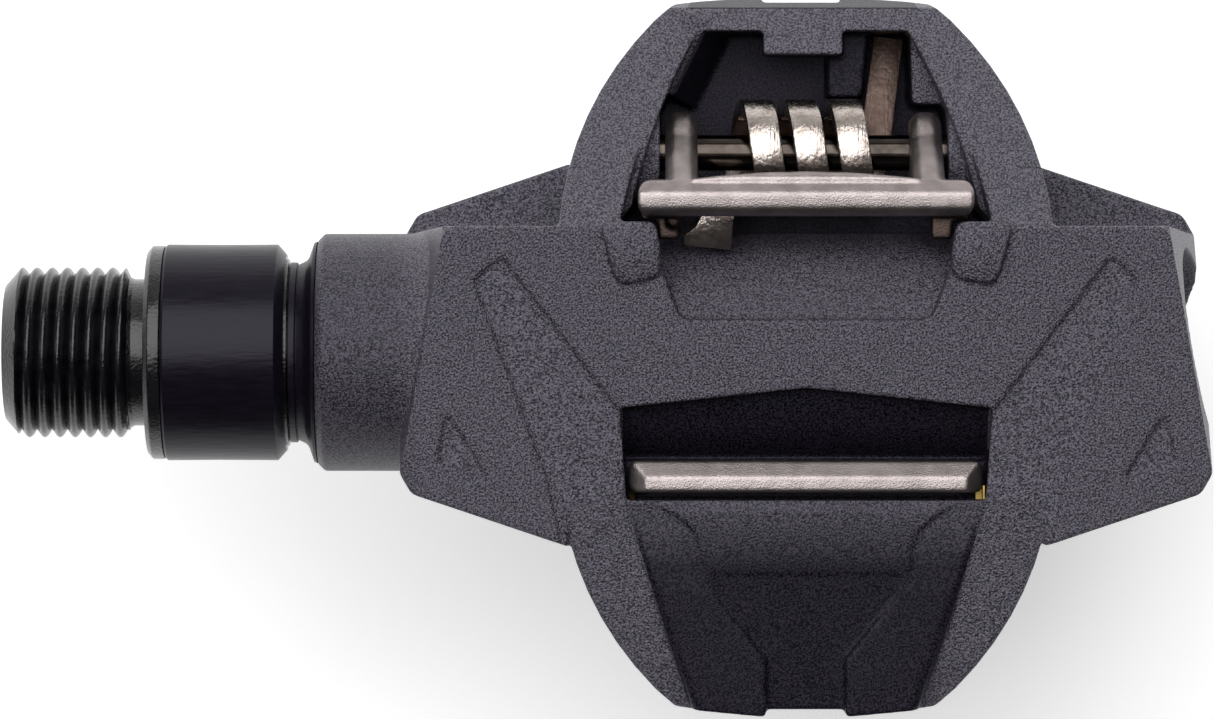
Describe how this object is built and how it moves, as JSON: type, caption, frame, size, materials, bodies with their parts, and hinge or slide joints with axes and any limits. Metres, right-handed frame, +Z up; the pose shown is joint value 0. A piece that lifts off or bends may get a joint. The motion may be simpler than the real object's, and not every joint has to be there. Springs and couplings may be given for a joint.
{
  "type": "clipless bicycle pedal",
  "caption": "Two-sided clipless bicycle pedal with a moulded body, a fixed front bar and a sprung rear bail on each side, on a threaded spindle.",
  "frame": {"origin": "on the spindle axis, where the pedal thread ends at the neck next to the shoulder", "axes": "+X outboard along the spindle, +Y towards the heel side of the upper face, +Z up out of the upper face"},
  "size_m": [0.1002, 0.0602, 0.0234],
  "materials": {
    "black_spindle_steel": "glossy black oxide",
    "matte_sleeve": "satin black",
    "seal_rubber": "soft black rubber",
    "bearing_steel": "ground steel",
    "bearing_cage": "glass-filled polyamide",
    "cap_plastic": "matte moulded",
    "body_nylon": "fine-grained glass-filled polyamide",
    "cast_steel": "satin cast steel",
    "yellow_zinc": "yellow-passivated zinc",
    "pin_steel": "dark polished steel",
    "bright_nickel": "bright nickel plate"
  },
  "bodies": {
    "spindle": {"spindle": "black_spindle_steel", "collar_sleeve": "matte_sleeve", "ball_inner_ring": "bearing_steel", "lock_washer": "bearing_steel", "lock_nut": "bearing_steel"},
    "pedal_body": {"pedal_body": "body_nylon", "lip_seal": "seal_rubber", "needle_shell": "bearing_steel", "ball_outer_ring": "bearing_steel", "bearing_shield_inner": "seal_rubber", "bearing_shield_outer": "seal_rubber", "circlip": "black_spindle_steel", "end_cap": "cap_plastic", "cap_o_ring": "seal_rubber", "front_bar_a": "cast_steel", "front_bar_b": "cast_steel", "bar_shim_a": "yellow_zinc", "bar_shim_b": "yellow_zinc", "pivot_pin_a": "pin_steel", "pivot_pin_b": "pin_steel", "torsion_spring_a": "bright_nickel", "torsion_spring_b": "bright_nickel"},
    "bail_a": {"rear_bail_a": "cast_steel"},
    "bail_b": {"rear_bail_b": "cast_steel"},
    "needle_set": {"needle_cage": "bearing_cage", "needle_rollers": "bearing_steel"},
    "ball_set": {"ball_cage": "bearing_cage", "bearing_balls": "bearing_steel"}
  },
  "joints": [
    {"name": "pedal_spin", "type": "hinge", "parent": "spindle", "child": "pedal_body", "pos_m": [0, 0, 0], "axis": [1, 0, 0], "continuous": true},
    {"name": "bail_a_pivot", "type": "hinge", "parent": "pedal_body", "child": "bail_a", "pos_m": [0.0563, 0.0167, 0.001], "axis": [-1, 0, 0], "range_deg": [0, 30], "stiffness_Nm_per_rad": 1.5, "springref_deg": -34.38, "deforming": ["torsion_spring_a"]},
    {"name": "bail_b_pivot", "type": "hinge", "parent": "pedal_body", "child": "bail_b", "pos_m": [0.0563, -0.0167, -0.001], "axis": [-1, 0, 0], "range_deg": [0, 30], "stiffness_Nm_per_rad": 1.5, "springref_deg": -34.38, "deforming": ["torsion_spring_b"]},
    {"name": "needle_orbit", "type": "hinge", "parent": "spindle", "child": "needle_set", "pos_m": [0.025, 0, 0], "axis": [1, 0, 0], "continuous": true},
    {"name": "ball_orbit", "type": "hinge", "parent": "spindle", "child": "ball_set", "pos_m": [0.0685, 0, 0], "axis": [1, 0, 0], "continuous": true}
  ],
  "couplings": [
    {"joint": "needle_orbit", "follows": "pedal_spin", "ratio": 0.5556},
    {"joint": "ball_orbit", "follows": "pedal_spin", "ratio": 0.6042}
  ]
}
